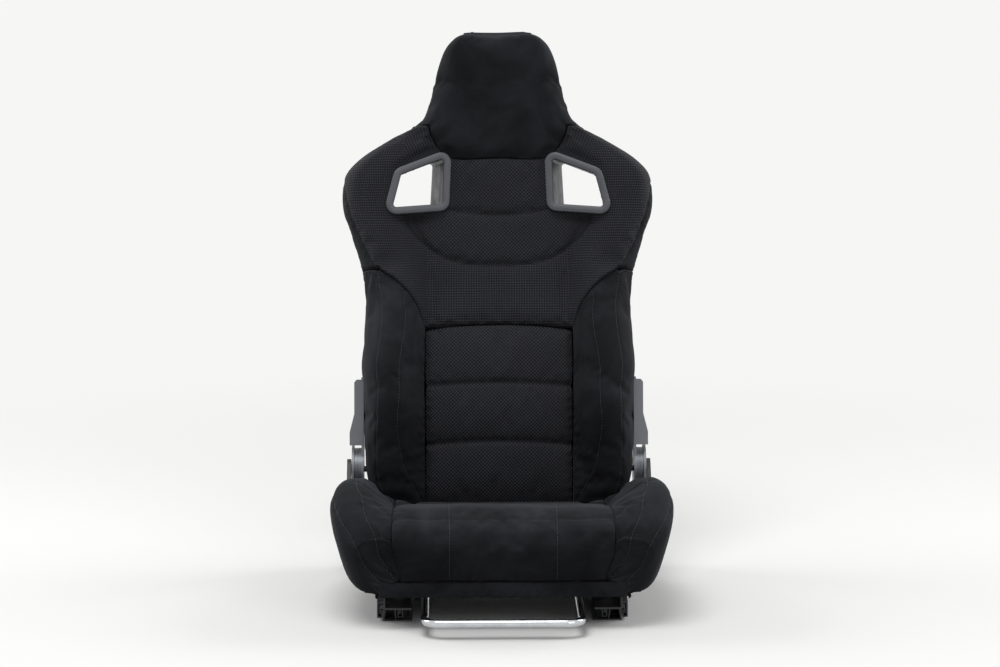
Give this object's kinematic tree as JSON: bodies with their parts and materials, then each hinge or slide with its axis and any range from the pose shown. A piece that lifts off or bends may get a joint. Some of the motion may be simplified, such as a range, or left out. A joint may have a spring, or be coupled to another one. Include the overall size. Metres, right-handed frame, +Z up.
{
  "type": "reclining racing seat",
  "caption": "Reclining bucket seat with high side bolsters, integral headrest, harness openings, twin recliners and ball-bearing slide rails with a front release bar.",
  "frame": {"origin": "middle of the four floor bolt holes, on the underside of the slide rails", "axes": "+Z up, the seat faces -Y, +X to the right in the front view"},
  "size_m": [0.5532, 0.6527, 0.9115],
  "materials": {
    "rail_steel": "phosphated rolled steel",
    "zinc_steel": "zinc plated pressed steel",
    "bearing_steel": "polished bearing balls",
    "black_steel": "black powder coat",
    "foam": "moulded polyurethane foam",
    "suede": "black microfibre suede over foam",
    "spacer_mesh": "black perforated mesh over foam",
    "disc_steel": "phosphated steel",
    "plated_bar": "bright nickel plate",
    "lever_plastic": "fine grained black nylon",
    "shell_plastic": "grained black ABS",
    "bezel_plastic": "satin grey moulded ABS"
  },
  "bodies": {
    "floor_rails": {"lower_rail_left": "rail_steel", "lower_rail_right": "rail_steel", "rail_stops": "zinc_steel"},
    "ball_cages": {"ball_cage_left": "zinc_steel", "ball_cage_right": "zinc_steel", "bearing_balls_left": "bearing_steel", "bearing_balls_right": "bearing_steel"},
    "slide_release": {"slide_bar": "plated_bar", "lock_plates": "zinc_steel"},
    "recliner_release": {"sync_rod": "zinc_steel", "release_lever_left": "lever_plastic", "release_lever_right": "lever_plastic", "lever_grip_left": "lever_plastic", "lever_grip_right": "lever_plastic"},
    "backrest": {"back_frame": "black_steel", "crossbar_lower": "black_steel", "crossbar_upper": "black_steel", "lumbar_wires": "zinc_steel", "lumbar_pad": "spacer_mesh", "back_bolster_left": "suede", "back_bolster_right": "suede", "shoulder_pad": "spacer_mesh", "headrest_pad": "suede", "rear_shell": "shell_plastic", "bezel_front_left": "bezel_plastic", "bezel_front_right": "bezel_plastic", "bezel_rear_left": "bezel_plastic", "bezel_rear_right": "bezel_plastic", "recliner_upper_left": "zinc_steel", "recliner_upper_right": "zinc_steel", "disc_moving_left": "disc_steel", "disc_moving_right": "disc_steel", "back_bolts": "zinc_steel"},
    "seat_base": {"upper_rail_left": "rail_steel", "upper_rail_right": "rail_steel", "pan_side_left": "black_steel", "pan_side_right": "black_steel", "cross_tube_front": "black_steel", "cross_tube_rear": "black_steel", "front_pan": "black_steel", "zigzag_springs": "zinc_steel", "rail_bolts": "zinc_steel", "rail_nuts": "zinc_steel", "bar_studs": "zinc_steel", "cushion_core": "foam", "cushion_centre": "suede", "cushion_skirt": "suede", "cushion_bolster_left": "suede", "cushion_bolster_right": "suede", "recliner_lower_left": "zinc_steel", "recliner_lower_right": "zinc_steel", "disc_fixed_left": "disc_steel", "disc_fixed_right": "disc_steel", "bracket_bolts": "zinc_steel"}
  },
  "joints": [
    {"name": "seat_slide", "type": "slide", "parent": "floor_rails", "child": "seat_base", "axis": [0, 1, 0], "range_m": [-0.1, 0.1]},
    {"name": "cage_travel", "type": "slide", "parent": "floor_rails", "child": "ball_cages", "axis": [0, 1, 0], "range_m": [-0.05, 0.05]},
    {"name": "recline", "type": "hinge", "parent": "seat_base", "child": "backrest", "pos_m": [0, 0.16, 0.176], "axis": [-1, 0, 0], "range_deg": [-45, 60]},
    {"name": "slide_bar_lift", "type": "hinge", "parent": "seat_base", "child": "slide_release", "pos_m": [0, 0.01, 0.026], "axis": [-1, 0, 0], "range_deg": [0, 3.5], "stiffness_Nm_per_rad": 8, "springref_deg": -17.19},
    {"name": "lever_lift", "type": "hinge", "parent": "seat_base", "child": "recliner_release", "pos_m": [0, 0.16, 0.176], "axis": [-1, 0, 0], "range_deg": [0, 30], "stiffness_Nm_per_rad": 1.5, "springref_deg": -28.65}
  ],
  "couplings": [
    {"joint": "cage_travel", "follows": "seat_slide", "ratio": 0.5}
  ]
}
